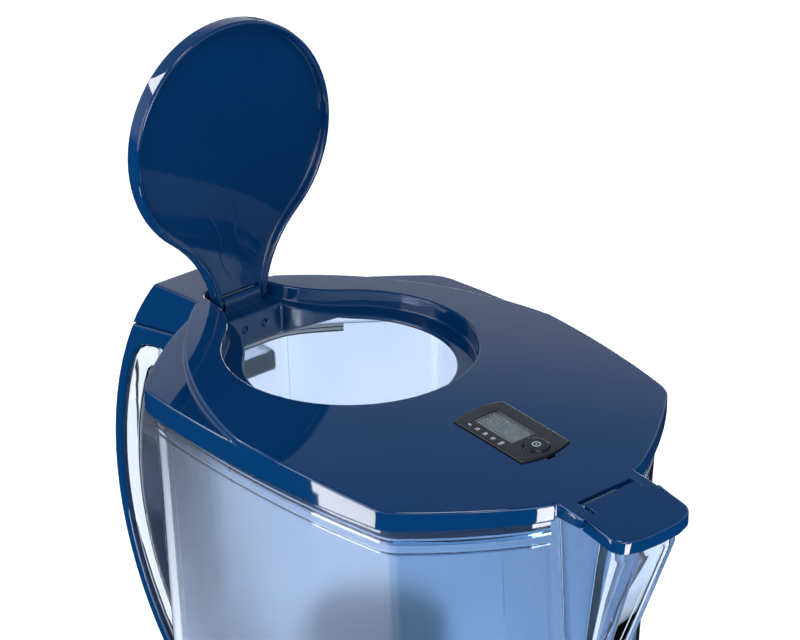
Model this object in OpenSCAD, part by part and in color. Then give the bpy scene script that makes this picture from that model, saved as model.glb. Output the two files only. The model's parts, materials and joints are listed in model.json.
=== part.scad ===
// Water filter pitcher with a flip-open fill lid: clear jug, hanging funnel,
// filter cartridge, navy lid and a battery-powered filter-change indicator.
// +X points to the spout, -X to the handle, Z = 0 is the face it stands on.

/* [Jug] */
// Height of the jug from its base to its rim
jug_h = 246; // [230:1:262]
// Distance from the frame's centre to the front panel, at the rim
front_x = 124.5; // [119:0.5:129]
// Distance from the frame's centre to the rear panel, at the rim
rear_x = 54; // [52:0.5:58]
// Place of the rear corners along the length
rear_corner_x = -19.5; // [-26:0.5:-12]
// Half width at the rear corners
rear_half = 65.5; // [62:0.5:70]
// Place of the front corners along the length
front_corner_x = 94.5; // [90:0.5:98]
// Half width at the front corners
front_half = 61.5; // [58:0.5:66]
// Half width of the front and rear panels
panel_half = 17.5; // [16:0.5:20]
// How far the long side panels bow out
side_bow = 4.2; // [2:0.2:6]
// How far the slanted panels bow out
slant_bow = 2; // [0.5:0.5:3]
// How far each wall leans in between rim and base
taper = 9; // [6:0.5:12]
// Thickness of the jug's walls
jug_wall = 2.4; // [2:0.1:3]
// Thickness of the jug's floor
jug_floor = 4; // [3:0.5:6]

/* [Spout] */
// How far the spout's tip stands in front of the front panel
beak_reach = 24.5; // [22:0.5:25]
// Half width of the spout
beak_half = 12.5; // [11:0.5:12.5]
// Height of the spout below the rim
beak_h = 100; // [80:1:120]

/* [Handle] */
// Radius of the handle's outer curve
handle_r = 115; // [112:1:118]
// Place of that curve's centre along the length
handle_x = 9.5; // [7:0.5:13]
// Depth of that curve's centre below the lid's lower edge
handle_drop = 68; // [64:1:72]
// Thickness of the handle's coloured cover
cover_t = 5; // [4:0.5:9]
// Thickness of the handle's clear core
core_t = 8.5; // [7:0.5:10]
// Width of the handle
handle_w = 32; // [28:1:33]

/* [Lid] */
// Height of the lid's highest point over its lower edge
lid_h = 11; // [10.6:0.1:11.6]
// Drop of the lid's side band at its rear end
band_drop = 2.8; // [0.8:0.1:4]
// Place of the lid's highest point along the length
crown_x = 17; // [14:1:20]
// Radius of the lid's domed top
crown_r = 1080; // [1000:20:1200]
// Thickness of the lid's walls
lid_wall = 2.2; // [1.8:0.1:2.4]
// Radius in plan of the step beside the raised deck
step_r = 142; // [130:2:160]

/* [Fill opening] */
// Radius of the flap's round end
flap_r = 41.2; // [39:0.2:42]
// Distance from the flap's hinge to the centre of its round end
flap_c = 58.5; // [57:0.5:60]
// Half width of the flap's neck at the hinge
neck_half = 10; // [9:0.5:11]
// Height of the ledge that the flap closes on, over the lid's lower edge
ledge_z = 3.7; // [3.6:0.1:4]
// Thickness of the flap's rim wall
flap_wall = 1.9; // [1.6:0.1:2.2]
// Thickness of the flap's plate
flap_plate = 3.4; // [2:0.1:3.6]
// Width of that ledge
ledge_w = 5.8; // [5:0.2:7]
// Gap around the flap in its recess
flap_gap = 1.3; // [0.8:0.1:1.6]
// Place of the flap's hinge along the length
hinge_x = -50.5; // [-51.5:0.5:-49.5]
// Height of the flap's hinge over the lid's lower edge
hinge_z = 6.4; // [6.3:0.1:6.6]
// Angle that the flap opens
flap_open = 92; // [90:1:95]
// Radius of the flap's hinge pin
flap_pin_r = 1; // [0.8:0.05:1.1]

/* [Spout flap] */
// Place of the spout flap's hinge along the length
spout_hinge_x = 132; // [131.5:0.5:132.5]
// Height of the spout flap's hinge over the lid's lower edge
spout_hinge_z = 3.3; // [3.2:0.1:3.6]
// Length of the spout flap from its hinge to its tip
tongue_len = 20.3; // [20:0.1:22]
// Half width of the spout flap
tongue_half = 16.2; // [16:0.1:17]
// Slope of the spout flap's top, falling to its tip
tongue_slope = 10; // [8:0.5:11]
// Radius of the spout flap's hinge pin
spout_pin_r = 0.9; // [0.8:0.05:1]

/* [Indicator] */
// Place of the indicator's centre along the length
ind_x = 86; // [84:0.5:87]
// Length of the indicator's straight sides
ind_len = 30.6; // [30:0.2:32]
// Width of the indicator
ind_w = 20.8; // [20:0.2:22]
// How far the indicator's ends bow out
ind_bow = 2; // [1:0.2:2.4]
// Height of the indicator's case
ind_h = 9.7; // [9.6:0.1:10.4]
// How far the indicator stands above the lid
ind_proud = 0.6; // [0.4:0.1:1]
// Radius of the start button
button_r = 4.1; // [3.8:0.1:4.2]
// Travel of the start button
button_travel = 0.8; // [0.5:0.1:0.8]
// Diameter of the coin cell
cell_d = 16; // [14:0.5:16.5]
// Thickness of the coin cell
cell_t = 2; // [1.6:0.1:2]

/* [Funnel] */
// Depth of the funnel's upright walls below the rim
funnel_h = 96; // [86:1:110]
// Depth of the funnel's sloping floor below those walls
funnel_floor_h = 20; // [14:1:24]
// Thickness of the funnel's walls
funnel_wall = 1.8; // [1.5:0.1:2.2]
// Thickness of the funnel's rim flange
flange_t = 1.6; // [1.4:0.1:1.6]
// Distance of the funnel from the front panel, for the pouring water
pour_gap = 13; // [12:0.5:14.5]
// Place of the cartridge along the length
cartridge_x = 20; // [10:1:26]

/* [Cartridge] */
// Radius of the cartridge's body
cart_r = 26; // [22:0.5:28]
// Height of the cartridge's body below its flange
cart_h = 84; // [70:1:90]
// Height of the cartridge's strainer cap
cap_h = 22; // [16:1:26]
// Wall of the cartridge's shell
cart_wall = 1.6; // [1.2:0.1:2]
// Slots around the strainer cap
cap_slots = 12; // [6:1:16]

/* [Hidden] */
$fn = 72;

// Clearances: a pin in its bore, parts that slide past each other, and parts that stand clear
fit = 0.05;
slip = 0.3;
loose = 1;
// Longer than the whole object, for cuts that run right through
far = 400;

// Heights: the lid's lower edge, the funnel's flange on the jug's rim, and the lid's underside
rim_lap = 0.8;
lid_z = jug_h - rim_lap;
under_z = jug_h + flange_t + 0.2;
// How far the jug's rim stands inside the lid's edge
rim_in = lid_wall + 0.4;
lean = taper / jug_h;

// Outline of the lid: eight corners, counter-clockwise from the near front corner
corners = [[front_x, -panel_half], [front_x, panel_half], [front_corner_x, front_half],
    [rear_corner_x, rear_half], [-rear_x, panel_half], [-rear_x, -panel_half],
    [rear_corner_x, -rear_half], [front_corner_x, -front_half]];
bows = [0, slant_bow, side_bow, slant_bow, 0, slant_bow, side_bow, slant_bow];
corner_cuts = [6, 6, 4, 5, 6, 6, 5, 4];
function unit(v) = v / norm(v);
function outward(a, b) = let (u = unit(b - a)) [u[1], -u[0]];
function corner(i, d) =
    let (p = corners[(i + 7) % 8], q = corners[i % 8], r = corners[(i + 1) % 8])
    let (m = outward(p, q), n = outward(q, r))
    q - d * (m + n) / (1 + m * n);
function on_side(i, t, d) =
    let (a = corner(i, d), b = corner(i + 1, d))
    a + (b - a) * t + outward(a, b) * 4 * bows[i % 8] * t * (1 - t);
function side_cut(i, end, d) = corner_cuts[(i + end) % 8] / norm(corner(i + 1, d) - corner(i, d));
function bend(a, b, c, t) = a * (1 - t) * (1 - t) + b * 2 * t * (1 - t) + c * t * t;
function outline(d) = [
    for (i = [0:7])
        let (t0 = side_cut(i, 0, d), t1 = 1 - side_cut(i, 1, d), before = 1 - side_cut(i + 7, 1, d))
        each [
            for (t = [0:0.25:1]) bend(on_side(i + 7, before, d), corner(i, d), on_side(i, t0, d), t),
            for (k = [1:7]) on_side(i, t0 + (t1 - t0) * k / 8, d)
        ]
];
function arc(c, r, a0, a1, n) = [for (k = [0:n]) let (a = a0 + (a1 - a0) * k / n)
    [c[0] + r * cos(a), c[1] + r * sin(a)]];
function reversed(list) = [for (k = [len(list) - 1:-1:0]) list[k]];

// Outline of the flap: a round end of radius r on a neck that narrows to half width w,
// with the hinge at the origin; the outline stops at x = back
neck_start = -6;
function racket_half(r, w) =
    let (blend = ((flap_c - neck_start) ^ 2 + w ^ 2 - r ^ 2) / (2 * (r - w)))
    let (turn = atan2(w + blend, neck_start - flap_c))
    concat(arc([flap_c, 0], r, 0, turn, 28), arc([neck_start, w + blend], blend, turn - 180, -90, 10));
function racket(r, w, back, end_r = 0) =
    let (kept = [for (p = racket_half(r, w)) if (p[0] > back + end_r) p])
    let (side = kept[len(kept) - 1][1])
    concat([for (k = [len(kept) - 1:-1:1]) [kept[k][0], -kept[k][1]]], kept,
        end_r == 0 ? [[back, side], [back, -side]] : concat(
            arc([back + end_r, side - end_r], end_r, 90, 180, 6),
            arc([back + end_r, end_r - side], end_r, 180, 270, 6)));

// The flap's hinge and recess, measured from the hinge
recess_floor = ledge_z - hinge_z;
flap_low = recess_floor + slip;
recess_r = flap_r + flap_gap;
recess_neck = neck_half + flap_gap;
knuckle_r = flap_pin_r + 1.3;
knuckle_half = neck_half - flap_wall - slip;
pocket_back = -8;
pocket_end_r = 5;
ledge_t = 1.7;
opening_neck = neck_half - 1.2;
opening_back = 8.5;
collar_wall = 1.6;
collar_drop = 11.4;
collar_len = 31;
collar_hole_end = 0.5;
collar_hole_r = 1.1;
collar_hole_y = 4.3;
collar_hole_down = 5.2;

// The step beside the raised deck: an arc from the handle's block to the long side
step_from = [-rear_x, panel_half - 1];
step_to = [34, rear_half + 2.5];
step_mid = (step_from + step_to) / 2;
step_back = sqrt(step_r ^ 2 - norm(step_to - step_from) ^ 2 / 4);
step_centre = step_mid + outward(step_from, step_to) * step_back;
shoulder_h = 6.1;
shoulder_slope = 1.2;

// The spout flap and the ears that carry it
ear_r = spout_hinge_z;
tongue_neck = beak_half - 1.2;
tongue_wall = 1.7;
tongue_t = 4.6;
tongue_top = 2.1;
tongue_back = 1.9;
bridge_gap = 2.9;
beak_rim = lid_z + 0.3;
pin_hub_r = spout_pin_r + 1;

// The handle: its arm, and the sloping joint between the lid's block and the cover
split_slope = 10.5;
split_z = -10.3;
split_x = -rear_x - 21;
block_root = -rear_x - 5;
cover_end = -rear_x - 8;
arm_z = -18;
arm_t = core_t - 1;
core_side = 1.5;
bottom_turn = -74;
core_turn = 22;
cover_turn = 50;
hand_z = lid_z - handle_drop;
core_r = handle_r - cover_t;

// Places inside the indicator, measured down from the top of its case
ind_tilt = asin((ind_x - crown_x) / crown_r);
deck_ind = lid_h - crown_r * (1 - cos(ind_tilt));
case_wall = 1.3;
case_plate = 1.2;
case_gap = 0.2;
tub_wall = 1.5;
window_len = 17.5;
window_w = 10;
window_x = -3.4;
window_lip = 0.6;
window_t = 0.6;
button_x = 11.2;
button_flange_r = button_r + 0.6;
button_flange_t = 0.6;
button_up = 0.5;
lcd_t = 1.4;
lcd_down = case_plate + window_t + 0.1;
strip_t = 1.2;
board_t = 1;
board_down = lcd_down + lcd_t + strip_t;
clip_t = 0.3;
cell_down = board_down + board_t + clip_t;
cell_x = -3;
dome_h = 0.5;
back_t = 1.2;
back_lip = 1;
notch_w = 3.6;
notch_t = 2;
notch_reach = 1.5;
ind_end_r = (ind_w ^ 2 / 4 + ind_bow ^ 2) / (2 * ind_bow);

// The funnel and the cartridge
hang_gap = 1.2;
funnel_in = rim_in + jug_wall + hang_gap;
notch_half = recess_neck + lid_wall + 2;
wall_low = jug_h - funnel_h;
seat_z = wall_low - funnel_floor_h;
seat_r = cart_r + 1.2;
seat_h = 9;
seat_wall = 2.6;
cart_flange_r = seat_r + 3.4;
cart_flange_t = 2.2;
cart_z = seat_z + funnel_wall;
seal_r = 0.8;
seal_at = cart_r + 0.35;
mesh_t = 0.8;
media_space = 6;

// A flat prism of the outline, moved in by d, between two heights
module plan_prism(d, low, high) {
    translate([0, 0, low]) linear_extrude(high - low) polygon(outline(d));
}

// A wall that leans in as it goes down, moved in by d at the rim
module leaning(d, low, high) {
    sliver = 0.02;
    hull() {
        plan_prism(d + (jug_h - low) * lean, low, low + sliver);
        plan_prism(d + (jug_h - high) * lean, high - sliver, high);
    }
}

// The spout's shape, grown by g, up to the height top
module beak(g, top) {
    tip_r = 5;
    tip_h = 8;
    root_half = 3;
    root_x = front_x - rim_in - beak_h * lean - 2;
    hull() {
        for (s = [-1, 1])
            translate([front_x + beak_reach + g - tip_r, s * (beak_half + g - tip_r), beak_rim - tip_h])
                cylinder(r = tip_r, h = top - beak_rim + tip_h, $fn = 32);
        translate([front_x - rim_in - 2, -beak_half - g, beak_rim - tip_h / 2])
            cube([1, 2 * (beak_half + g), top - beak_rim + tip_h / 2]);
        translate([root_x, -root_half - g, beak_rim - beak_h - g]) cube([1, 2 * (root_half + g), 1]);
    }
}

module jug_body() {
    color([0.86, 0.93, 1, 0.35]) difference() {
        union() {
            leaning(rim_in, 0, jug_h);
            beak(0, beak_rim);
        }
        leaning(rim_in + jug_wall, jug_floor, jug_h + loose);
        beak(-jug_wall, jug_h + loose);
    }
}

// Side view of one of the handle's curves: r is its radius, arm the height of its straight arm
function hand_curve(r, arm) =
    let (round = arc([handle_x, hand_z], r, 180 - bottom_turn, 180 - core_turn, 24))
    let (knee = [handle_x - r * cos(asin((handle_drop + arm) / r)), lid_z + arm])
    concat(round, [for (t = [0.25:0.25:1]) bend(round[24], knee, [knee[0] + 14, knee[1]], t)],
        [[-rear_x + 12, lid_z + arm]]);

// A side view given its thickness w across the object
module side_slab(points, w) {
    rotate([90, 0, 0]) translate([0, 0, -w / 2]) linear_extrude(w) polygon(points);
}

module handle_core() {
    color([0.86, 0.93, 1, 0.45]) difference() {
        side_slab(concat(hand_curve(core_r - fit, arm_z - fit),
            reversed(hand_curve(core_r - core_t, arm_z - arm_t))), handle_w - 2 * core_side);
        leaning(rim_in, 0, jug_h);
    }
}

// Everything above the sloping joint, raised by up
module above_split(up) {
    translate([split_x, 0, lid_z + split_z + up]) rotate([0, -split_slope, 0])
        translate([-far / 2, -far / 2, 0]) cube(far);
}

module handle_cover() {
    hollow_turn = bottom_turn + 5;
    color([0.06, 0.2, 0.4]) difference() {
        side_slab(concat(
            arc([handle_x, hand_z], handle_r, 180 - bottom_turn, 180 - cover_turn, 32),
            [[cover_end, lid_z]],
            reversed(hand_curve(core_r, arm_z))), handle_w);
        side_slab(concat(
            arc([handle_x, hand_z], handle_r - lid_wall, 180 - hollow_turn, 180 - core_turn, 24),
            reversed(arc([handle_x, hand_z], core_r - 1, 180 - hollow_turn, 180 - core_turn, 24))),
            handle_w - 2 * lid_wall);
        above_split(0);
        leaning(rim_in, 0, jug_h);
        translate([cover_end, -far / 2, lid_z - handle_drop]) cube(far);
    }
}

// The funnel's shape, moved in by g: upright walls over a floor that slopes to the seat
module funnel_space(g, top) {
    sliver = 0.02;
    difference() {
        union() {
            leaning(funnel_in + g, wall_low, top);
            hull() {
                plan_prism(funnel_in + g + funnel_h * lean, wall_low, wall_low + sliver);
                translate([cartridge_x, 0, seat_z + g])
                    cylinder(r = cart_flange_r + 4 - g, h = sliver, $fn = 48);
            }
        }
        translate([front_x - pour_gap - g, -far / 2, 0]) cube(far);
    }
}

module funnel() {
    color([0.78, 0.88, 0.98, 0.6]) difference() {
        union() {
            plan_prism(rim_in, jug_h, jug_h + flange_t);
            funnel_space(0, jug_h + flange_t);
            translate([cartridge_x, 0, cart_z - seat_h]) cylinder(r = seat_r + seat_wall, h = seat_h);
        }
        funnel_space(funnel_wall, jug_h + far / 10);
        translate([cartridge_x, 0, cart_z - seat_h - loose]) cylinder(r = seat_r, h = seat_h + 2 * loose);
        translate([front_x - pour_gap + funnel_wall, -beak_half, jug_h - loose])
            cube([far, 2 * beak_half, flange_t + 2 * loose]);
        translate([-rear_x, -notch_half, jug_h + flange_t / 2])
            cube([2 * funnel_in, 2 * notch_half, flange_t]);
    }
}

module cartridge_shell() {
    color([0.95, 0.96, 0.97]) translate([cartridge_x, 0, cart_z]) difference() {
        union() {
            translate([0, 0, -cart_h]) cylinder(r = cart_r, h = cart_h + fit);
            cylinder(r = cart_flange_r, h = cart_flange_t);
        }
        translate([0, 0, cart_wall - cart_h]) cylinder(r = cart_r - cart_wall, h = cart_h + far / 20);
        translate([0, 0, -seat_h / 2]) rotate_extrude()
            translate([seal_at, 0]) circle(r = seal_r + fit, $fn = 24);
        for (k = [0:7]) rotate(k * 45) translate([7, -1.2, -cart_h - loose])
            cube([13, 2.4, cart_wall + 2 * loose]);
    }
}

module cartridge_cap() {
    cap_r = cart_r + 0.5;
    cap_top_r = cap_r - 3;
    color([0.9, 0.94, 0.98]) translate([cartridge_x, 0, cart_z + cart_flange_t]) difference() {
        union() {
            cylinder(r = cart_flange_r - 1, h = 1.4);
            cylinder(r1 = cap_r, r2 = cap_top_r, h = cap_h);
        }
        translate([0, 0, -loose])
            cylinder(r1 = cap_r - cart_wall, r2 = cap_top_r - cart_wall, h = cap_h - cart_wall);
        for (k = [0:cap_slots - 1]) rotate(k * 360 / cap_slots) translate([cap_r - 8, -0.6, 3])
            cube([10, 1.2, cap_h - 8]);
    }
}

module cartridge_seal() {
    color([0.93, 0.93, 0.9]) translate([cartridge_x, 0, cart_z - seat_h / 2]) rotate_extrude()
        translate([seal_at, 0]) circle(r = seal_r, $fn = 24);
}

// A round pad that fills the cartridge's bore, t thick, standing at z
module bore_pad(z, t) {
    translate([cartridge_x, 0, z]) cylinder(r = cart_r - cart_wall - fit, h = t);
}

module top_mesh() {
    color([0.85, 0.87, 0.88]) bore_pad(cart_z - mesh_t, mesh_t);
}

module bottom_mesh() {
    color([0.85, 0.87, 0.88]) bore_pad(cart_z - cart_h + cart_wall, mesh_t);
}

module filter_media() {
    low = cart_z - cart_h + cart_wall + mesh_t;
    color([0.25, 0.24, 0.22]) bore_pad(low, cart_z - mesh_t - media_space - low);
}

// Everything below the lid's domed top, moved down by off
module under_crown(off) {
    translate([crown_x, 0, lid_z + lid_h - crown_r]) rotate([90, 0, 0]) sphere(r = crown_r - off, $fn = 360);
}

// The space over the low shoulders beside the raised deck, moved in by off
module over_shoulders(off) {
    for (s = [-1, 1]) difference() {
        translate([0, 0, lid_z + shoulder_h - off]) rotate([0, -shoulder_slope, 0])
            translate([-far / 2, min(s, 0) * far / 2, 0]) cube([far, far / 2, far / 4]);
        translate([step_centre[0], s * step_centre[1], lid_z - far / 8])
            cylinder(r = step_r - off, h = far, $fn = 180);
        translate([-far - rear_x, -handle_w / 2, lid_z - far / 4]) cube([far, handle_w, far]);
    }
}

// Everything below the lid's top, moved down by off
module under_top(off) {
    difference() {
        under_crown(off);
        over_shoulders(off);
    }
}

// Puts what follows in the flap's frame: the hinge at the origin, +X along the flap, opened by turn
module hinge_frame(turn) {
    translate([hinge_x, 0, lid_z + hinge_z]) rotate([0, -turn, 0]) children();
}

// A round bar across the object, through the point [x, z]
module cross_bar(x, z, r, half) {
    translate([x, 0, z]) rotate([90, 0, 0]) cylinder(r = r, h = 2 * half, center = true);
}

// Puts what follows in the indicator's frame: the origin at the lid's top, +Z square to it
module ind_frame() {
    translate([ind_x, 0, lid_z + deck_ind]) rotate([0, ind_tilt, 0]) children();
}

// The indicator's outline: straight sides and bowed ends, grown by g, from low to high
module ind_prism(g, low, high) {
    turn = asin((ind_w / 2 + g) / (ind_end_r + g));
    reach = ind_len / 2 + ind_bow - ind_end_r;
    translate([0, 0, low]) linear_extrude(high - low) polygon(concat(
        arc([reach, 0], ind_end_r + g, -turn, turn, 12),
        arc([-reach, 0], ind_end_r + g, 180 - turn, 180 + turn, 12)));
}

// The block that stands over the handle, as a solid moved in by g
module block_solid(g) {
    intersection() {
        side_slab([[-rear_x + 6, lid_z + far / 10], [-rear_x + 6, under_z], [-rear_x, under_z],
            [block_root, lid_z + split_z], [block_root, lid_z - far / 10],
            [-far / 2, lid_z - far / 10], [-far / 2, lid_z + far / 10]], handle_w - 2 * g);
        cross_bar(handle_x, hand_z, handle_r - g, handle_w);
        under_crown(g);
    }
}

// The shell of the block over the handle, open below
module block() {
    intersection() {
        above_split(slip);
        difference() {
            block_solid(0);
            intersection() {
                block_solid(lid_wall);
                translate([hinge_x + pocket_back - lid_wall - far, -far / 2, 0]) cube(far);
            }
        }
    }
}

// The lid's crowned plate with the wall around its edge
// The side band below the lid's lower edge, deeper towards the rear, with gaps for the handle and the spout
module side_band() {
    front_drop = 0.6;
    difference() {
        intersection() {
            plan_prism(0, lid_z - band_drop, lid_z + loose);
            side_slab([[far, lid_z + loose], [far, lid_z - front_drop], [front_corner_x, lid_z - front_drop],
                [rear_corner_x, lid_z - band_drop], [-far, lid_z - band_drop], [-far, lid_z + loose]], far);
        }
        translate([-far / 2, -handle_w / 2 - loose, lid_z - far / 10])
            cube([far, handle_w + 2 * loose, far / 10]);
    }
}

module lid_shell() {
    difference() {
        intersection() {
            union() {
                plan_prism(0, lid_z, lid_z + far / 10);
                side_band();
            }
            under_top(0);
        }
        plan_prism(lid_wall, lid_z - band_drop - loose, under_z);
        intersection() {
            plan_prism(rim_in + 3, lid_z - loose, lid_z + far / 10);
            under_top(lid_wall);
        }
    }
}

// A prism in the flap's frame over one of its outlines, its end rounded by end_r
module racket_prism(r, w, back, low, high, end_r = 0) {
    hinge_frame(0) translate([0, 0, low]) linear_extrude(high - low) polygon(racket(r, w, back, end_r));
}

// The bridge in front of the lid and the two ears that hold the spout flap's pin
module spout_neck() {
    root_x = front_x - 10;
    bridge_x = spout_hinge_x - tongue_back - bridge_gap;
    ear_t = tongue_half - tongue_neck - slip;
    ear_y = tongue_neck + slip + ear_t / 2;
    intersection() {
        union() {
            translate([root_x, -tongue_half, under_z]) cube([bridge_x - root_x, 2 * tongue_half, far / 10]);
            for (s = [-1, 1]) translate([0, s * ear_y, 0]) {
                translate([front_x - lid_wall, -ear_t / 2, lid_z])
                    cube([spout_hinge_x - front_x + lid_wall, ear_t, far / 10]);
                cross_bar(spout_hinge_x, lid_z + spout_hinge_z, ear_r, ear_t / 2);
            }
        }
        under_crown(0);
    }
}

module lid() {
    collar_r = flap_r - ledge_w;
    color([0.05, 0.17, 0.36]) difference() {
        union() {
            difference() {
                union() {
                    lid_shell();
                    block();
                    spout_neck();
                    intersection() {
                        union() {
                            racket_prism(recess_r + lid_wall, recess_neck + lid_wall, pocket_back,
                                recess_floor - ledge_t, far / 10);
                            ind_frame() ind_prism(case_gap + tub_wall,
                                ind_proud - ind_h - case_gap - tub_wall, 0);
                        }
                        under_top(0);
                    }
                    intersection() {
                        racket_prism(collar_r + collar_wall, opening_neck + collar_wall,
                            opening_back - collar_wall, recess_floor - collar_drop, recess_floor);
                        side_slab([[hinge_x, lid_z + ledge_z], [hinge_x, lid_z + ledge_z - collar_drop],
                            [hinge_x + opening_back, lid_z + ledge_z - collar_drop],
                            [hinge_x + collar_len, lid_z + ledge_z]], far);
                    }
                }
                racket_prism(recess_r, recess_neck, pocket_back, recess_floor, far / 10, pocket_end_r);
                racket_prism(collar_r, opening_neck, opening_back, -far / 10, far / 10);
            }
            knuckle();
        }
        hinge_frame(0) cross_bar(0, 0, flap_pin_r + fit, neck_half);
        for (s = [-1, 1]) hinge_frame(0)
            translate([opening_back - collar_wall + collar_hole_end, s * collar_hole_y,
                recess_floor - collar_hole_down])
            rotate([0, 90, 0]) cylinder(r = collar_hole_r, h = collar_wall + loose);
        ind_frame() {
            ind_prism(case_gap, ind_proud - ind_h - case_gap, far / 10);
            translate([ind_len / 2, -notch_w / 2, -notch_t]) cube([ind_bow + notch_reach, notch_w, far / 10]);
        }
        translate([front_x - rim_in - jug_wall - loose, -beak_half - 2 * slip, lid_z - loose])
            cube([far, 2 * beak_half + 4 * slip, beak_rim - lid_z + loose + slip]);
        cross_bar(spout_hinge_x, lid_z + spout_hinge_z, spout_pin_r + fit, tongue_half - loose);
    }
}

// The lid's knuckle: a barrel on a web that stands on the recess floor
module knuckle() {
    hinge_frame(0) {
        cross_bar(0, 0, knuckle_r, knuckle_half);
        translate([-knuckle_r, -knuckle_half, recess_floor - ledge_t / 2])
            cube([2 * knuckle_r, 2 * knuckle_half, -recess_floor + ledge_t / 2]);
    }
}

// The flap as it lies when closed
module closed_flap() {
    difference() {
        union() {
            intersection() {
                racket_prism(flap_r, neck_half, 0, flap_low, far / 10);
                under_crown(0);
            }
            hinge_frame(0) cross_bar(0, 0, -flap_low, neck_half);
        }
        intersection() {
            racket_prism(flap_r - flap_wall, neck_half - flap_wall, -knuckle_r, flap_low - loose, far / 10);
            under_crown(flap_plate);
        }
        hinge_frame(0) {
            translate([-far / 10, -knuckle_half - slip, -far / 20])
                cube([far / 10 + knuckle_r + 2 * slip, 2 * (knuckle_half + slip), far / 10]);
            cross_bar(0, 0, flap_pin_r + fit, neck_half + loose);
        }
    }
}

module flap() {
    color([0.04, 0.15, 0.33]) hinge_frame(flap_open) translate([-hinge_x, 0, -lid_z - hinge_z]) closed_flap();
}

module flap_pin() {
    color([0.75, 0.76, 0.78]) hinge_frame(0) cross_bar(0, 0, flap_pin_r, neck_half + flap_gap / 2);
}

// Everything below the spout flap's sloping top, moved down by off
module under_tongue(off) {
    translate([spout_hinge_x, 0, lid_z + spout_hinge_z + tongue_top - off]) rotate([0, tongue_slope, 0])
        translate([-far / 2, -far / 2, -far]) cube(far);
}

// The spout flap's plan, moved in by g
module tongue_plan(g) {
    tip = spout_hinge_x + tongue_len - g;
    tip_r = 5;
    bow = 1.5;
    polygon(concat(
        [[spout_hinge_x - loose, -tongue_half + g]],
        arc([tip - tip_r - bow, -tongue_half + g + tip_r], tip_r, -90, -15, 6),
        [[tip - bow / 4, -tongue_half / 2], [tip, 0], [tip - bow / 4, tongue_half / 2]],
        arc([tip - tip_r - bow, tongue_half - g - tip_r], tip_r, 15, 90, 6),
        [[spout_hinge_x - loose, tongue_half - g]]));
}

module spout_flap() {
    pivot_z = lid_z + spout_hinge_z;
    solid_end = spout_hinge_x + ear_r + 2.2;
    color([0.05, 0.17, 0.36]) difference() {
        union() {
            difference() {
                intersection() {
                    translate([0, 0, lid_z - far / 20]) linear_extrude(far / 10) tongue_plan(0);
                    under_tongue(0);
                }
                under_tongue(tongue_t);
                difference() {
                    intersection() {
                        translate([0, 0, lid_z - far / 20]) linear_extrude(far / 10) tongue_plan(tongue_wall);
                        under_tongue(tongue_wall);
                    }
                    translate([solid_end - far, -far / 2, 0]) cube(far);
                }
                cross_bar(spout_hinge_x, pivot_z, ear_r + slip, tongue_half + loose);
                translate([spout_hinge_x - far, -beak_half - 2 * slip, 0])
                    cube([far + front_x + beak_reach + 2 * slip - spout_hinge_x, 2 * beak_half + 4 * slip,
                        beak_rim + slip]);
                translate([spout_hinge_x - 2 * loose, -far / 2, 0]) cube([2 * loose, far, far]);
            }
            intersection() {
                translate([spout_hinge_x - tongue_back, -tongue_neck + slip, pivot_z - pin_hub_r])
                    cube([tongue_back + ear_r + loose, 2 * (tongue_neck - slip), far / 10]);
                under_tongue(0);
            }
        }
        cross_bar(spout_hinge_x, pivot_z, spout_pin_r + fit, tongue_half + loose);
    }
}

module spout_pin() {
    color([0.75, 0.76, 0.78]) cross_bar(spout_hinge_x, lid_z + spout_hinge_z, spout_pin_r, tongue_half - 1.5);
}

// A slab centred at [x, y] in the indicator's frame, its top face down below the case's top
module ind_slab(x, y, down, size) {
    translate([x - size[0] / 2, y - size[1] / 2, ind_proud - down - size[2]]) cube(size);
}

module indicator_case() {
    color([0.13, 0.13, 0.14]) ind_frame() difference() {
        ind_prism(0, ind_proud - ind_h + back_t, ind_proud);
        ind_prism(-case_wall, ind_proud - ind_h, ind_proud - case_plate);
        ind_slab(window_x, 0, -loose, [window_len, window_w, case_plate + 2 * loose]);
        translate([button_x, 0, ind_proud - case_plate - loose])
            cylinder(r = button_r + slip / 2, h = far / 20);
    }
}

module indicator_back() {
    color([0.13, 0.13, 0.14]) ind_frame() {
        ind_prism(0, ind_proud - ind_h, ind_proud - ind_h + back_t);
        difference() {
            ind_prism(-case_wall - fit, ind_proud - ind_h + back_t / 2, ind_proud - ind_h + back_t + loose);
            ind_prism(-case_wall - back_lip, ind_proud - ind_h, ind_proud);
        }
    }
}

module lcd_window() {
    color([0.75, 0.8, 0.82, 0.5]) ind_frame() {
        ind_slab(window_x, 0, slip, [window_len - 2 * fit, window_w - 2 * fit, case_plate + window_t - slip]);
        ind_slab(window_x, 0, case_plate, [window_len + 2 * window_lip, window_w + 2 * window_lip, window_t]);
    }
}

module lcd_panel() {
    color([0.5, 0.51, 0.49]) ind_frame()
        ind_slab(window_x, 0, lcd_down, [window_len + 1.6, window_w + 4, lcd_t]);
}

module contact_strip() {
    color([0.85, 0.5, 0.55]) ind_frame() for (s = [-1, 1])
        ind_slab(window_x, s * (window_w / 2 + 0.9), lcd_down + lcd_t, [window_len - 1, 1.6, strip_t]);
}

module circuit_board() {
    color([0.1, 0.4, 0.25]) ind_frame()
        ind_slab(0, 0, board_down, [ind_len - 2 * case_wall - 1, ind_w - 2 * case_wall - 1, board_t]);
}

module chip_cap() {
    color([0.05, 0.05, 0.05]) ind_frame() translate([cell_x + cell_d / 2 + 4.2, 0,
        ind_proud - board_down - board_t - 0.9]) cylinder(r = 3, h = 0.9);
}

module switch_dome() {
    color([0.8, 0.81, 0.83]) ind_frame() translate([button_x, 0, ind_proud - board_down])
        cylinder(r1 = 2.5, r2 = 1.6, h = dome_h);
}

module coin_cell() {
    color([0.78, 0.79, 0.8]) ind_frame() translate([cell_x, 0, ind_proud - cell_down - cell_t])
        cylinder(r = cell_d / 2, h = cell_t);
}

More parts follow.
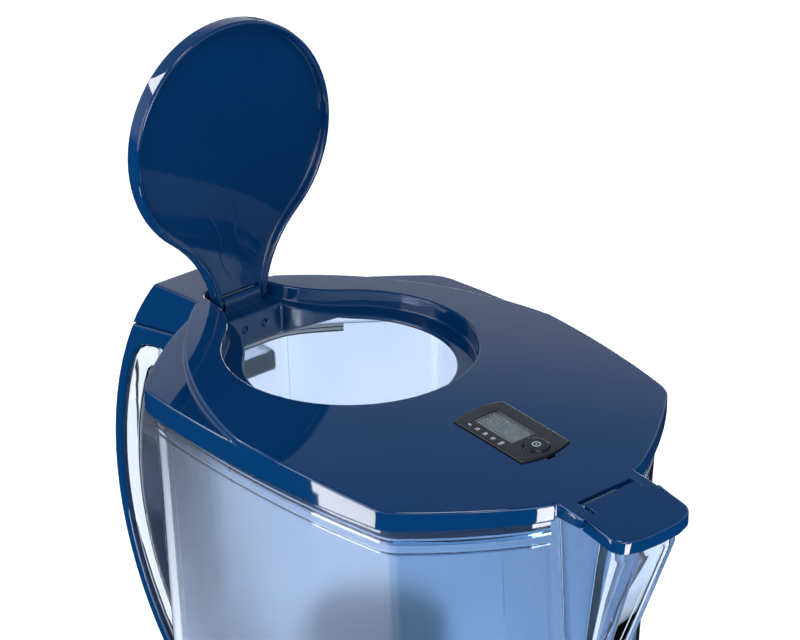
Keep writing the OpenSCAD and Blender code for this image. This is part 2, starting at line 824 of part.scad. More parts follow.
module cell_clips() {
    under = cell_down + cell_t;
    leg_x = cell_x - cell_d / 2 - 1.2;
    color([0.85, 0.8, 0.6]) ind_frame() {
        ind_slab(cell_x, 4, board_down + board_t, [9, 3, clip_t]);
        ind_slab((leg_x + cell_x) / 2, 0, under, [cell_x - leg_x, 3, clip_t]);
        ind_slab(leg_x, 0, board_down + board_t, [0.4, 3, under + clip_t - board_down - board_t]);
    }
}

module button() {
    stem_r = 1.5;
    under = board_down - dome_h - button_travel - 2 * fit;
    flange_down = case_plate + fit;
    color([0.16, 0.16, 0.17]) ind_frame() translate([button_x, 0, ind_proud]) {
        translate([0, 0, -flange_down]) cylinder(r = button_r, h = button_up + flange_down);
        translate([0, 0, -flange_down - button_flange_t]) cylinder(r = button_flange_r, h = button_flange_t);
        translate([0, 0, -under]) cylinder(r = stem_r, h = under - case_plate);
    }
}

jug_body();
handle_core();
handle_cover();
funnel();
cartridge_shell();
cartridge_cap();
cartridge_seal();
top_mesh();
filter_media();
bottom_mesh();
lid();
flap();
flap_pin();
spout_flap();
spout_pin();
indicator_case();
indicator_back();
lcd_window();
lcd_panel();
contact_strip();
circuit_board();
chip_cap();
switch_dome();
coin_cell();
cell_clips();
button();
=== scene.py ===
import json
import math

import bmesh
import bpy
from mathutils import Matrix, Vector
from mathutils.bvhtree import BVHTree
from mathutils.kdtree import KDTree


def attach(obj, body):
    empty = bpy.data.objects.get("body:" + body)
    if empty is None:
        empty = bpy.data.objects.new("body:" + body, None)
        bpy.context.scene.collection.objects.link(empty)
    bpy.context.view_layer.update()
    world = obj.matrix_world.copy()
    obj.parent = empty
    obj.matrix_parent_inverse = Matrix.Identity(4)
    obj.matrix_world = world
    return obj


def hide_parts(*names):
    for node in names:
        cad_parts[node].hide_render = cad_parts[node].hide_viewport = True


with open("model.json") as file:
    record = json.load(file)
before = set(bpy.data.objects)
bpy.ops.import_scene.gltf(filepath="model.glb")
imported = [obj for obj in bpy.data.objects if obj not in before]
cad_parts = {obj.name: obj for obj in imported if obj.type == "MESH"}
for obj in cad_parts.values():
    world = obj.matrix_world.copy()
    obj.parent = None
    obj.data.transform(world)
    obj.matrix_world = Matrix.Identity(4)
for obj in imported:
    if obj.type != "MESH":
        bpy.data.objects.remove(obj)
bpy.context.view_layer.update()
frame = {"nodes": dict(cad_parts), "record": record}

mm = 0.001
print("frame loaded:", len(frame["nodes"]), "solids")

# places that part.scad gives, in millimetres, and the stored flap's angle in degrees
plan = {
    "lidZ": 245.2, "lidHeight": 11, "lidWall": 2.2, "crownX": 17, "crownRadius": 1080,
    "hingeX": -50.5, "hingeZ": 6.4, "flapPlate": 3.4, "flapOpen": 92,
    "indicatorX": 86, "proud": 0.6,
}


# small helpers

def pick(piece):
    bpy.ops.object.select_all(action="DESELECT")
    piece.select_set(True)
    bpy.context.view_layer.objects.active = piece


def hexColour(text, alpha=1.0):
    # a screen colour, made linear
    parts = [int(text[i:i + 2], 16) / 255 for i in (1, 3, 5)]
    return (*[p / 12.92 if p <= 0.04045 else ((p + 0.055) / 1.055) ** 2.4 for p in parts], alpha)


def addNode(tree, kind, settings=None, links=None):
    node = tree.nodes.new(kind)
    for name, value in (settings or {}).items():
        if name in node.inputs:
            node.inputs[name].default_value = value
        else:
            setattr(node, name, value)
    for name, source in (links or {}).items():
        tree.links.new(source[0].outputs[source[1]], node.inputs[name])
    return node


def newFinish(name, settings):
    finish = bpy.data.materials.new(name)
    finish.use_nodes = True
    tree = finish.node_tree
    tree.nodes.clear()
    shader = addNode(tree, "ShaderNodeBsdfPrincipled", settings)
    addNode(tree, "ShaderNodeOutputMaterial", None, {"Surface": (shader, "BSDF")})
    return finish, tree, shader


noiseEnds = (0.3, 0.7)  # a noise seldom leaves this range


def mixedColour(tree, shader, first, second, pattern):
    # first and second meet along a noise pattern
    ramp = addNode(tree, "ShaderNodeValToRGB", None, {"Fac": pattern})
    ramp.color_ramp.elements[0].position = noiseEnds[0]
    ramp.color_ramp.elements[1].position = noiseEnds[1]
    ramp.color_ramp.elements[0].color = hexColour(first)
    ramp.color_ramp.elements[1].color = hexColour(second)
    tree.links.new(ramp.outputs["Color"], shader.inputs["Base Color"])


def surfaceRelief(tree, shader, pattern, strength, depth):
    bump = addNode(tree, "ShaderNodeBump", {"Strength": strength, "Distance": depth}, {"Height": pattern})
    tree.links.new(bump.outputs["Normal"], shader.inputs["Normal"])


def objectNoise(tree, size, detail=2.0):
    # a noise whose patches are about size millimetres wide
    place = addNode(tree, "ShaderNodeTexCoord")
    settings = {"Scale": 1 / (size * mm), "Detail": detail}
    return addNode(tree, "ShaderNodeTexNoise", settings, {"Vector": (place, "Object")})


def surfaceOf(node):
    # a solid's surface, for finding where a ray meets it
    mesh = frame["nodes"][node].data
    corners = [vert.co for vert in mesh.vertices]
    return BVHTree.FromPolygons(corners, [face.vertices for face in mesh.polygons])


# finishes: nearly every piece of such a pitcher is injection moulded; relief sizes are in millimetres

plastic = {"driftSize": 50, "bumpStrength": 0.35, "clearReliefSize": 30}


def mouldedPlastic(name, dark, light, roughness, ior=1.53, reliefSize=9, reliefDepth=0.01, extra=None):
    # a hardly seen waviness in the gloss and a faint drift of the colour, from dark to light
    finish, tree, shader = newFinish(name, {"Roughness": roughness, "IOR": ior, **(extra or {})})
    drift = objectNoise(tree, plastic["driftSize"])
    mixedColour(tree, shader, dark, light, (drift, "Fac"))
    ripple = objectNoise(tree, reliefSize, 1.0)
    surfaceRelief(tree, shader, (ripple, "Fac"), plastic["bumpStrength"], reliefDepth * mm)
    return finish


def seeThroughPlastic(name, tintAndPaintedShade, shade, roughness, ior, reliefDepth=0.02):
    # tinted a little, so that several walls behind each other look bluer
    size = plastic["clearReliefSize"]
    return mouldedPlastic(name, tintAndPaintedShade, shade, roughness, ior, size, reliefDepth, {"Transmission Weight": 1.0})


metal = {"Metallic": 1.0}
finishes = {
    # polished mould: deep navy with mirror-like reflections
    "navyAbs": mouldedPlastic("navyAbs", "#022F5A", "#03335F", 0.04),
    # clear styrene copolymer: glassy, with a cool cast
    "clearSan": seeThroughPlastic("clearSan", "#E4ECF8", "#E9F0FA", 0.0, 1.5),
    # the same with a little pigment: pale blue, and soft to look through
    "paleFunnelSan": mouldedPlastic("paleFunnelSan", "#E2ECF8", "#E8F0FA", 0.2, 1.45, 20, 0.02,
                                    {"Transmission Weight": 0.95}),
    # a painted shadow: grey see-through plastic for the dark band just under the lid's edge
    "paintedShadowSan": seeThroughPlastic("paintedShadowSan", "#59606E", "#646B79", 0.05, 1.5),
    # satin mould: soft white with no sharp reflection
    "whitePolypropylene": mouldedPlastic("whitePolypropylene", "#E4E8EC", "#EDF0F3", 0.32, 1.49),
    # rubbery and dull
    "sealSilicone": mouldedPlastic("sealSilicone", "#DDDCD4", "#E6E5DE", 0.55, 1.42),
    # woven threads, drawn coarser than they are so that they show
    "wovenMesh": mouldedPlastic("wovenMesh", "#C9CDD0", "#E0E3E5", 0.5, 1.5, 1.2, 0.3),
    # activated carbon grit of about a millimetre
    "carbonBeads": mouldedPlastic("carbonBeads", "#17181A", "#3A3B3D", 0.6, 1.5, 1.2, 0.8),
    # drawn stainless wire: bright, with soft streaks
    "pinSteel": mouldedPlastic("pinSteel", "#B4B6B9", "#C4C6C8", 0.22, 1.5, 2, 0.01, metal),
    # stamped brass sheet: warm and fairly bright
    "clipBrass": mouldedPlastic("clipBrass", "#C8A864", "#D3B678", 0.25, 1.5, 2, 0.01, metal),
    # finely eroded mould: satin black that picks up a grey sheen
    "moduleBlackAbs": mouldedPlastic("moduleBlackAbs", "#161617", "#1B1B1C", 0.32, 1.5, 0.6, 0.02),
    # smoother mould: a blacker cap with a tighter sheen
    "buttonBlackAbs": mouldedPlastic("buttonBlackAbs", "#0B0B0C", "#101011", 0.24, 1.5, 0.8, 0.02),
    # pad-printed ink: flat and nearly white
    "printedWhiteInk": mouldedPlastic("printedWhiteInk", "#E4E6E8", "#F4F5F6", 0.5, 1.48, 0.4, 0.01),
    # polarised display glass with nothing shown: an even warm grey
    "lcdGlass": mouldedPlastic("lcdGlass", "#A3A39C", "#ABABA4", 0.25, 1.5, 10, 0.0),
    # cast sheet: flat and clear
    "windowAcrylic": seeThroughPlastic("windowAcrylic", "#EEF1F0", "#F4F6F5", 0.0, 1.49, 0.0),
    # layered silicone: dull pink
    "zebraRubber": mouldedPlastic("zebraRubber", "#B4707E", "#C98A96", 0.6),
    # solder mask: glossy green lacquer
    "boardMask": mouldedPlastic("boardMask", "#12492B", "#1A5A36", 0.3),
    # poured epoxy: nearly black, softly glossy
    "chipResin": mouldedPlastic("chipResin", "#0E0E0F", "#161617", 0.35),
}


def between(tree, axes, axis, start, end):
    # runs from 0 to 1 along an axis of the solids, from start to end in millimetres
    ends = {"From Min": start * mm, "From Max": end * mm}
    return addNode(tree, "ShaderNodeMapRange", ends, {"Value": (axes, axis)}), "Result"


def paintedShadePart(finish, colour, spans):
    # painted shade: the colour takes over where all spans have reached 1
    tree = finish.node_tree
    shader = next(node for node in tree.nodes if node.type == "BSDF_PRINCIPLED")
    before = shader.inputs["Base Color"].links[0].from_socket
    place = addNode(tree, "ShaderNodeTexCoord")
    axes = addNode(tree, "ShaderNodeSeparateXYZ", None, {"Vector": (place, "Object")})
    share = None
    for axis, start, end in spans:
        span = between(tree, axes, axis, start, end)
        if share:
            product = addNode(tree, "ShaderNodeMath", {"operation": "MULTIPLY"})
            tree.links.new(share[0].outputs[share[1]], product.inputs[0])
            tree.links.new(span[0].outputs[span[1]], product.inputs[1])
            span = (product, "Value")
        share = span
    # the mix node's sockets share their names, so its colour sockets are taken by number
    mix = addNode(tree, "ShaderNodeMix", {"data_type": "RGBA"})
    first, second, mixed = mix.inputs[6], mix.inputs[7], mix.outputs[2]
    tree.links.new(share[0].outputs[share[1]], mix.inputs["Factor"])
    tree.links.new(before, first)
    second.default_value = hexColour(colour)
    tree.links.new(mixed, shader.inputs["Base Color"])


# painted shade on the clear jug: a deeper blue on the front facets and a dark grey on the wall beside the
# handle
jugPaintedShades = {
    "frontFacets": {"colour": "#AECBE4", "spans": [("X", 92.5, 93.5), ("X", 123, 121)]},
    "besideHandle": {
        "colour": "#414855",
        "spans": [("X", 20, -45), ("Y", -30, -40), ("Z", 150, 225), ("X", -56, -53)],
    },
}
for tintAndPaintedShade in jugPaintedShades.values():
    paintedShadePart(finishes["clearSan"], tintAndPaintedShade["colour"], tintAndPaintedShade["spans"])

slotFinish = {
    "clear_plastic": "clearSan", "navy_plastic": "navyAbs", "frosted_plastic": "paleFunnelSan",
    "white_plastic": "whitePolypropylene", "silicone": "sealSilicone", "filter_mesh": "wovenMesh",
    "filter_media": "carbonBeads", "steel": "pinSteel", "black_plastic": "moduleBlackAbs",
    "lcd_window": "windowAcrylic", "lcd_glass": "lcdGlass", "contact_rubber": "zebraRubber",
    "circuit_board": "boardMask", "chip_resin": "chipResin", "brass": "clipBrass",
}
nodeSlot = {part["node"]: part["material_slot"] for part in frame["record"]["subparts"]}
nodeBody = {node: body for body, nodes in frame["record"]["behaviour"]["bodies"].items() for node in nodes}
for node, solid in frame["nodes"].items():
    solid.data.materials.clear()
    solid.data.materials.append(finishes[slotFinish[nodeSlot[node]]])
print("finishes made:", len(finishes))


# pieces that keep a solid's shape and get its rounded edges

merging = {"distance": 0.03, "flatAngle": 0.002}  # millimetres and radians


def mergedCopy(node, name):
    piece = bpy.data.objects.new(name, frame["nodes"][node].data.copy())
    bpy.context.scene.collection.objects.link(piece)
    pick(piece)
    bpy.ops.mesh.customdata_custom_splitnormals_clear()
    bpy.ops.object.mode_set(mode="EDIT")
    bpy.ops.mesh.select_all(action="SELECT")
    bpy.ops.mesh.remove_doubles(threshold=merging["distance"] * mm)
    bpy.ops.mesh.dissolve_limited(angle_limit=merging["flatAngle"])
    bpy.ops.mesh.quads_convert_to_tris(quad_method="BEAUTY", ngon_method="BEAUTY")
    bpy.ops.object.mode_set(mode="OBJECT")
    return piece


def applied(piece, kind, settings):
    pick(piece)
    modifier = piece.modifiers.new(kind.lower(), kind)
    for name, value in settings.items():
        setattr(modifier, name, value)
    bpy.ops.object.modifier_apply(modifier=modifier.name)


# a new point is stray when it is farther than these shares of the width from the old corners or the old
# surface; points closer than same, in millimetres, are one
rounding = {
    "segments": 3, "angle": 30, "same": 0.01,
    "strayFromCorner": 2.6, "strayFromSurface": 0.6, "rounds": 4,
}


def roundEdges(piece, width, widthAt):
    # widthAt gives an edge's share of the width from its middle, in millimetres
    mesh = bmesh.new()
    mesh.from_mesh(piece.data)
    mesh.normal_update()
    surface = BVHTree.FromBMesh(mesh)
    share = mesh.edges.layers.float.new("bevel_weight_edge")
    ends = set()
    for edge in mesh.edges:
        if len(edge.link_faces) == 2 and edge.calc_face_angle(0) > math.radians(rounding["angle"]):
            middle = (edge.verts[0].co + edge.verts[1].co) / 2 / mm
            edge[share] = widthAt(middle)
            ends.update(edge.verts)
    corners, old = KDTree(len(ends)), KDTree(len(mesh.verts))
    for place, vert in enumerate(ends):
        corners.insert(vert.co, place)
    for place, vert in enumerate(mesh.verts):
        old.insert(vert.co, place)
    corners.balance()
    old.balance()
    mesh.to_mesh(piece.data)
    mesh.free()
    applied(piece, "BEVEL", {
        "width": width * mm, "segments": rounding["segments"], "limit_method": "WEIGHT",
        "use_clamp_overlap": False, "loop_slide": False,
    })
    # a point that the bevel threw far off goes back to its nearest neighbour
    mesh = bmesh.new()
    mesh.from_mesh(piece.data)
    fromCorner = rounding["strayFromCorner"] * width * mm
    fromSurface = rounding["strayFromSurface"] * width * mm
    stray = {vert for vert in mesh.verts if old.find(vert.co)[2] > rounding["same"] * mm and (
        corners.find(vert.co)[2] > fromCorner or surface.find_nearest(vert.co)[3] > fromSurface)}
    for _ in range(rounding["rounds"]):
        for vert in sorted(stray, key=lambda vert: vert.index):
            near = [edge.other_vert(vert) for edge in vert.link_edges if edge.other_vert(vert) not in stray]
            if near:
                vert.co = min(near, key=lambda other: (other.co - vert.co).length).co
                stray.discard(vert)
    bmesh.ops.remove_doubles(mesh, verts=mesh.verts, dist=rounding["same"] * mm)
    mesh.to_mesh(piece.data)
    mesh.free()


# a face lies on a dome when it is near enough, in millimetres, and faces along its radius
shading = {"sharpAngle": 40, "normalWeight": 80, "domeNear": 0.35, "domeFacing": 0.9995}


def smoothShade(piece, domes=()):
    # domes are (centre, radius): faces on one take its exact normals, so that reflections run smoothly
    pick(piece)
    bpy.ops.object.shade_smooth_by_angle(angle=math.radians(shading["sharpAngle"]))
    for modifier in list(piece.modifiers):
        bpy.ops.object.modifier_apply(modifier=modifier.name)
    applied(piece, "WEIGHTED_NORMAL", {"keep_sharp": True, "weight": shading["normalWeight"]})
    if not domes:
        return
    mesh = piece.data
    normals = [Vector(corner.vector) for corner in mesh.corner_normals]
    for face in mesh.polygons:
        for centre, radius in domes:
            outward = (face.center - centre).normalized()
            facing = face.normal.dot(outward)
            near = abs((face.center - centre).length - radius) < shading["domeNear"] * mm
            if near and abs(facing) > shading["domeFacing"]:
                for loop in face.loop_indices:
                    spot = mesh.vertices[mesh.loops[loop].vertex_index].co
                    normals[loop] = (spot - centre).normalized() * (1 if facing > 0 else -1)
    mesh.normals_split_custom_set(normals)


def finishPiece(piece, node, replace=True, finish=None):
    piece.data.materials.clear()
    piece.data.materials.append(finishes[finish or slotFinish[nodeSlot[node]]])
    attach(piece, nodeBody[node])
    if replace:
        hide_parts(node)


crownCentre = Vector((plan["crownX"], 0, plan["lidZ"] + plan["lidHeight"] - plan["crownRadius"])) * mm
hingePoint = Vector((plan["hingeX"], 0, plan["lidZ"] + plan["hingeZ"])) * mm
flapTurn = Matrix.Rotation(math.radians(-plan["flapOpen"]), 4, "Y")
flapCrown = hingePoint + flapTurn @ (crownCentre - hingePoint)
radius = plan["crownRadius"] * mm
lidDomes = [(crownCentre, radius), (crownCentre, radius - plan["lidWall"] * mm)]
flapDomes = [(flapCrown, radius), (flapCrown, radius - plan["flapPlate"] * mm)]

# where edges stay crisp: on the lid from one x to another within half a width, and on the pour flap behind
# and below its front top edge
crisp = {
    "share": 0.2, "pourFlapX": 137, "pourFlapZ": 246,
    "lid": {"spoutHinge": (125, 160, 15.5), "knuckle": (-54, -47, 11), "indicator": (67, 105, 13)},
}


def lidWidth(spot):
    inside = any(rear < spot.x < front and abs(spot.y) < half for rear, front, half in crisp["lid"].values())
    return crisp["share"] if inside else 1.0


def pourFlapWidth(spot):
    return crisp["share"] if spot.x < crisp["pourFlapX"] or spot.z < crisp["pourFlapZ"] else 1.0


def sameWidth(spot):
    return 1.0


roundedPieces = {
    "lid": {"name": "lidShell", "width": 0.8, "domes": lidDomes, "widthAt": lidWidth},
    "flap": {"name": "fillFlap", "width": 0.9, "domes": flapDomes},
    "spout_flap": {"name": "pourFlap", "width": 0.8, "widthAt": pourFlapWidth},
    "handle_cover": {"name": "handleCover", "width": 1.4},
    "handle_core": {"name": "handleCore", "width": 1.2},
    "jug_body": {"name": "clearJug", "width": 0.7},
    "funnel": {"name": "hangingFunnel", "width": 0.5},
    "indicator_case": {"name": "indicatorCase", "width": 0.35},
    "button": {"name": "startButton", "width": 0.4, "finish": "buttonBlackAbs"},
}
for node, shape in roundedPieces.items():
    piece = mergedCopy(node, shape["name"])
    roundEdges(piece, shape["width"], shape.get("widthAt", sameWidth))
    smoothShade(piece, shape.get("domes", ()))
    finishPiece(piece, node, True, shape.get("finish"))
    print("rounded", shape["name"], len(piece.data.vertices))


# details that the solids leave out

def placed(piece, name, matrix):
    # moves the mesh, so that the piece stays at the origin
    piece.name = name
    piece.data.transform(matrix)
    return piece


def newMesh(name, verts, faces):
    mesh = bpy.data.meshes.new(name)
    mesh.from_pydata(verts, [], faces)
    piece = bpy.data.objects.new(name, mesh)
    bpy.context.scene.collection.objects.link(piece)
    pick(piece)
    bpy.ops.object.mode_set(mode="EDIT")
    bpy.ops.mesh.select_all(action="SELECT")
    bpy.ops.mesh.normals_make_consistent(inside=False)
    bpy.ops.object.mode_set(mode="OBJECT")
    return piece


# the plain numbers along the bezel
marks = {
    "texts": ("0", "25", "50", "75", "100"), "size": 1.7, "half": 0.02, "lift": 0.03,
    "first": -10.8, "step": 3.6, "across": -8.0,
}
tilt = math.asin((plan["indicatorX"] - plan["crownX"]) / plan["crownRadius"])
crownFall = plan["crownRadius"] * (1 - math.cos(tilt))
moduleMiddle = Vector((plan["indicatorX"], 0, plan["lidZ"] + plan["lidHeight"] - crownFall)) * mm
moduleTop = Matrix.Translation(moduleMiddle) @ Matrix.Rotation(tilt, 4, "Y")
readAcross = Matrix.Rotation(math.radians(90), 4, "Z")
for place, text in enumerate(marks["texts"]):
    along = marks["first"] + place * marks["step"]
    bpy.ops.object.select_all(action="DESELECT")
    bpy.ops.object.text_add()
    words = bpy.context.active_object
    words.data.body = text
    words.data.size = marks["size"] * mm
    words.data.align_x, words.data.align_y = "CENTER", "CENTER"
    words.data.extrude = marks["half"] * mm
    bpy.ops.object.convert(target="MESH")
    spot = Matrix.Translation(Vector((along, marks["across"], plan["proud"] + marks["lift"])) * mm)
    placed(words, "printedNumber" + text, moduleTop @ spot @ readAcross)
    finishPiece(words, "indicator_case", False, "printedWhiteInk")

# the button's own mesh gives its place and its size
intoModule = moduleTop.inverted()
topLayer = 0.1 * mm
buttonSpots = [intoModule @ vert.co for vert in frame["nodes"]["button"].data.vertices]
buttonTop = max(spot.z for spot in buttonSpots)
capSpots = [spot for spot in buttonSpots if spot.z > buttonTop - topLayer]
buttonX = (min(spot.x for spot in capSpots) + max(spot.x for spot in capSpots)) / 2
buttonRadius = (max(spot.x for spot in capSpots) - min(spot.x for spot in capSpots)) / 2


def flatRing(name, radius, thick, at):
    bpy.ops.object.select_all(action="DESELECT")
    bpy.ops.mesh.primitive_torus_add(major_radius=radius, minor_radius=thick,
                                     major_segments=48, minor_segments=10)
    return placed(bpy.context.active_object, name, moduleTop @ Matrix.Translation(at))


# the button's ring and bar, and the round moat that sets it off from the case
symbol = {"radius": 1.3, "thick": 0.1, "bar": (0.9, 0.2, 0.1), "moatGap": 0.55, "moatThick": 0.22}
ring = flatRing("symbolRing", symbol["radius"] * mm, symbol["thick"] * mm, Vector((buttonX, 0, buttonTop)))
bpy.ops.object.select_all(action="DESELECT")
bpy.ops.mesh.primitive_cube_add(size=1)
barSize = Matrix.Diagonal((*[side * mm for side in symbol["bar"]], 1))
barPlace = moduleTop @ Matrix.Translation((buttonX, 0, buttonTop))
bar = placed(bpy.context.active_object, "symbolBar", barPlace @ barSize)
for mark in (ring, bar):
    finishPiece(mark, "button", False, "printedWhiteInk")
moatRadius = buttonRadius + symbol["moatGap"] * mm
moat = flatRing("buttonMoat", moatRadius, symbol["moatThick"] * mm, Vector((buttonX, 0, plan["proud"] * mm)))
smoothShade(moat)
finishPiece(moat, "indicator_case", False, "buttonBlackAbs")
print("indicator marked")


def wallLoop(height):
    # the jug's outer outline at a height, as points in order
    mesh = bmesh.new()
    mesh.from_mesh(frame["nodes"]["jug_body"].data)
    bmesh.ops.remove_doubles(mesh, verts=mesh.verts, dist=rounding["same"] * mm)
    everything = mesh.verts[:] + mesh.edges[:] + mesh.faces[:]
    cut = bmesh.ops.bisect_plane(mesh, geom=everything, dist=0.0001 * mm,
                                 plane_co=(0, 0, height * mm), plane_no=(0, 0, 1))["geom_cut"]
    ways = {}
    for edge in cut:
        if isinstance(edge, bmesh.types.BMEdge):
            for vert in edge.verts:
                ways.setdefault(vert, []).append(edge.other_vert(vert))
    start = max(ways, key=lambda vert: abs(vert.co.y))
    loop, last, here = [start], None, start
    while True:
        onward = [vert for vert in ways[here] if vert is not last and (vert is start or vert not in loop)]
        if not onward or onward[0] is start:
            break
        last, here = here, onward[0]
        loop.append(here)
    points = [vert.co / mm for vert in loop]
    mesh.free()
    return points


# the beads stop beside the handle and beside the spout, at a place along and a half width
beadGaps = {"handleX": -40, "handleHalf": 18, "spoutX": 112, "spoutHalf": 15.5}
beadEdge = 0.28  # half the height of a bead's outer face, as a share of its whole height


def wallBead(name, height, tall, proud, deep, finish):
    points = wallLoop(height)
    middle = sum(points, Vector()) / len(points)
    verts, faces, before = [], [], None
    for k in range(len(points) + 1):
        here = points[k % len(points)]
        ahead = points[(k + 1) % len(points)]
        behind = points[k - 1]
        along = ahead - behind
        side = Vector((along.y, -along.x, 0)).normalized()
        if side.dot(here - middle) < 0:
            side = -side
        atHandle = here.x < beadGaps["handleX"] and abs(here.y) < beadGaps["handleHalf"]
        atSpout = here.x > beadGaps["spoutX"] and abs(here.y) < beadGaps["spoutHalf"]
        if atHandle or atSpout:
            before = None
            continue
        section = ((proud, beadEdge), (proud, -beadEdge), (0, -0.5), (-deep, -0.5), (-deep, 0.5), (0, 0.5))
        count = len(section)
        first = len(verts)
        for out, up in section:
            verts.append((here + side * out + Vector((0, 0, up * tall))) * mm)
        if before is None:
            faces.append([first + n for n in range(count)])
        else:
            for n in range(count):
                after = (n + 1) % count
                faces.append((before + n, before + after, first + after, first + n))
        before = first
    bead = newMesh(name, verts, faces)
    smoothShade(bead)
    finishPiece(bead, "jug_body", False, finish)


beads = {
    # rimShadow is a painted shadow: a grey band just below the lid's edge
    "rimShadow": {"height": 242.6, "tall": 3.4, "proud": 0.12, "deep": 0.5, "finish": "paintedShadowSan"},
    "rimBead": {"height": 239.2, "tall": 1.6, "proud": 0.6, "deep": 0.4, "finish": "clearSan"},
    "lowerBead": {"height": 235.2, "tall": 0.9, "proud": 0.35, "deep": 0.3, "finish": "clearSan"},
}
for name, bead in beads.items():
    wallBead(name, **bead)
print("jug beads made")


flapSurface = surfaceOf("flap")
creases = {
    "rightCrease": [(-11.5, 46), (-3, 39), (1, 31), (0, 23), (9.5, 9.5)],
    "leftCrease": [(-18.5, 39.5), (-10, 32), (-7, 24), (-7, 16), (-3, 7)],
}
creaseShape = {"thick": 0.28, "endShare": 0.2, "steps": 16}


def crease(name, spots):
    # a low ridge on the open flap's underside, through (across, height over the hinge)
    curve = bpy.data.curves.new(name, "CURVE")
    curve.dimensions = "3D"
    curve.bevel_depth = creaseShape["thick"] * mm
    curve.resolution_u = creaseShape["steps"]
    line = curve.splines.new("BEZIER")
    line.bezier_points.add(len(spots) - 1)
    for point, (across, up) in zip(line.bezier_points, spots):
        ahead = Vector((0, across, plan["lidZ"] + plan["hingeZ"] + up)) * mm
        point.co = flapSurface.ray_cast(ahead, Vector((-1, 0, 0)))[0]
        point.handle_left_type = point.handle_right_type = "AUTO"
    line.bezier_points[0].radius = line.bezier_points[-1].radius = creaseShape["endShare"]
    ridge = bpy.data.objects.new(name, curve)
    bpy.context.scene.collection.objects.link(ridge)
    pick(ridge)
    bpy.ops.object.convert(target="MESH")
    smoothShade(ridge)
    finishPiece(ridge, "flap", False)


for name, spots in creases.items():
    crease(name, spots)

# the rear of the funnel's rim: a white strip with two grooves, whose shade is painted as black strips, each
# proud enough to show
strip = {
    "height": 235.4, "half": 33, "steps": 24, "tall": 3.0, "deep": 0.5, "sunk": 0.1, "lookFrom": -20,
    "grooves": (0.35, -1.1), "grooveTall": 0.35, "grooveProud": 0.06,
}
funnelSurface = surfaceOf("funnel")


def rearStrip(name, height, tall, deep, finish):
    verts, faces = [], []
    for k in range(strip["steps"] + 1):
        across = strip["half"] * (2 * k / strip["steps"] - 1)
        ahead = Vector((strip["lookFrom"], across, height)) * mm
        wall = funnelSurface.ray_cast(ahead, Vector((-1, 0, 0)))[0] / mm
        for out, up in ((deep, 0.5), (deep, -0.5), (-strip["sunk"], -0.5), (-strip["sunk"], 0.5)):
            verts.append(Vector((wall.x + out, across, height + up * tall)) * mm)
    for k in range(0, 4 * strip["steps"], 4):
        for n in range(4):
            after = (n + 1) % 4
            faces.append((k + n, k + after, k + 4 + after, k + 4 + n))
    faces += [(0, 1, 2, 3), tuple(len(verts) - n for n in (4, 3, 2, 1))]
    finishPiece(newMesh(name, verts, faces), "funnel", False, finish)


rearStrip("funnelRearStrip", strip["height"], strip["tall"], strip["deep"], "whitePolypropylene")
# the grooves' shade is painted: thin black strips standing a little proud of the white one
for k, lift in enumerate(strip["grooves"]):
    grooveHeight = strip["height"] + lift
    grooveDeep = strip["deep"] + strip["grooveProud"]
    rearStrip("funnelGroove" + str(k), grooveHeight, strip["grooveTall"], grooveDeep, "moduleBlackAbs")
print("flap and funnel details made")


# the studio: a pale lit floor, a backdrop that fades upwards, and soft lamps

# in metres, but floorPatch in millimetres
studio = {
    "floorSize": 12.0, "floorDark": "#F4F4F5", "floorLight": "#FBFBFC", "floorGlow": 0.5, "floorPatch": 400,
    "lampsAim": (0.08, -0.02, 0.25),
}
bpy.ops.object.select_all(action="DESELECT")
bpy.ops.mesh.primitive_plane_add(size=studio["floorSize"], location=(0, 0, 0))
floor = bpy.context.active_object
floor.name = "paleFloor"
# opal sheet with light under it: an even near-white without reflections
floorFinish, floorTree, floorShader = newFinish("backlitAcrylicSheet", {
    "Roughness": 0.9, "Specular IOR Level": 0.1,
    "Emission Color": hexColour("#FFFFFF"), "Emission Strength": studio["floorGlow"],
})
grain = objectNoise(floorTree, studio["floorPatch"])
mixedColour(floorTree, floorShader, studio["floorDark"], studio["floorLight"], (grain, "Fac"))
floor.data.materials.append(floorFinish)
floor.visible_glossy = False  # the gloss shows the dark room under the table's edge instead

room = bpy.data.worlds.new("softRoom")
bpy.context.scene.world = room
room.use_nodes = True
roomTree = room.node_tree
roomTree.nodes.clear()
direction = addNode(roomTree, "ShaderNodeTexCoord")
height = addNode(roomTree, "ShaderNodeSeparateXYZ", None, {"Vector": (direction, "Generated")})
climb = addNode(roomTree, "ShaderNodeMapRange", {"From Min": -1.0}, {"Value": (height, "Z")})
fade = addNode(roomTree, "ShaderNodeValToRGB", None, {"Fac": (climb, "Result")})
# dark below the horizon, bright at it, and bluer and deeper upwards, which the lid and the deck reflect
backdrop = [(0.0, "#1A1D22"), (0.44, "#22262E"), (0.52, "#E2E7EE"), (0.69, "#D4DCE8"), (0.71, "#C8D0DC"),
            (0.738, "#ACBAC8"), (0.758, "#96A8BE"), (0.8, "#8093AC"), (1.0, "#5C6D85")]
stops = fade.color_ramp.elements
for place, colour in backdrop[2:]:
    stops.new(place)
for stop, (place, colour) in zip(stops, backdrop):
    stop.position = place
    stop.color = hexColour(colour)
glow = addNode(roomTree, "ShaderNodeBackground", None, {"Color": (fade, "Color")})
addNode(roomTree, "ShaderNodeOutputWorld", None, {"Surface": (glow, "Background")})

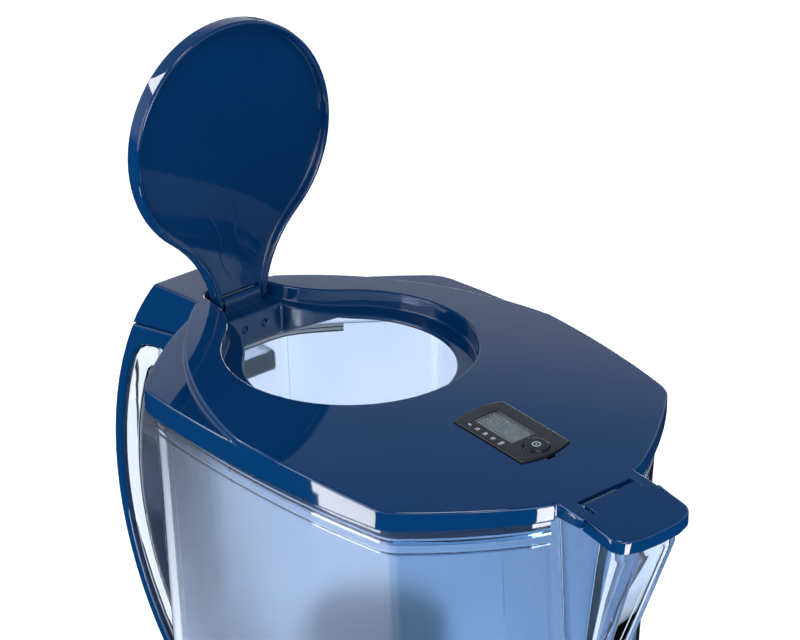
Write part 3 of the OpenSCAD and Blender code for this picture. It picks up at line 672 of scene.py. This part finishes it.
# the lamps' places and sizes are in metres; the three cards light the side band, the facet and the edge
lamps = {
    "leftStrip": {"at": (-0.81, -0.50, 0.94), "size": (0.3, 0.3), "power": 3.5},
    "topStrip": {"at": (0.49, -0.16, 1.35), "size": (0.35, 0.35), "power": 4.0},
    "sideFill": {"at": (-0.35, -1.35, 0.60), "size": (0.9, 0.9), "power": 9.0},
    "rearLine": {"at": (-0.85, 1.25, 0.32), "size": (0.7, 0.16), "power": 3.0},
    "bandCard": {"at": (-0.058, -0.332, 0.077), "size": (0.125, 0.05), "power": 0.22},
    "facetCard": {"at": (0.427, -0.007, 0.076), "size": (0.12, 0.06), "power": 0.4},
    "edgeCard": {"at": (0.62, -0.12, 0.36), "size": (0.34, 0.12), "power": 0.9},
}
for name, lamp in lamps.items():
    light = bpy.data.lights.new(name, "AREA")
    light.shape = "RECTANGLE"
    light.size, light.size_y = lamp["size"]
    light.energy = lamp["power"]
    holder = bpy.data.objects.new(name, light)
    holder.location = lamp["at"]
    aim = Vector(studio["lampsAim"]) - Vector(lamp["at"])
    holder.rotation_euler = aim.to_track_quat("-Z", "Y").to_euler()
    holder.visible_camera = False
    bpy.context.scene.collection.objects.link(holder)

# the camera, at the photograph's angle

shot = {
    "azimuth": 48.643, "elevation": 26.179, "target": (42.08, -8.12, 279.74), "distance": 1022.07,
    "lens": 144.45, "sensor": 36, "clip": (0.05, 30),
}
azimuth, elevation = math.radians(shot["azimuth"]), math.radians(shot["elevation"])
level = Vector((math.sin(azimuth), -math.cos(azimuth), 0))
back = level * math.cos(elevation) + Vector((0, 0, math.sin(elevation)))
cameraData = bpy.data.cameras.new("photoCamera")
cameraData.lens = shot["lens"]
cameraData.sensor_width = shot["sensor"]
cameraData.clip_start, cameraData.clip_end = shot["clip"]
camera = bpy.data.objects.new("photoCamera", cameraData)
camera.location = (Vector(shot["target"]) + back * shot["distance"]) * mm
camera.rotation_euler = (-back).to_track_quat("-Z", "Y").to_euler()
bpy.context.scene.collection.objects.link(camera)
bpy.context.scene.camera = camera
bpy.context.scene.view_settings.view_transform = "Standard"
print("studio and camera set")
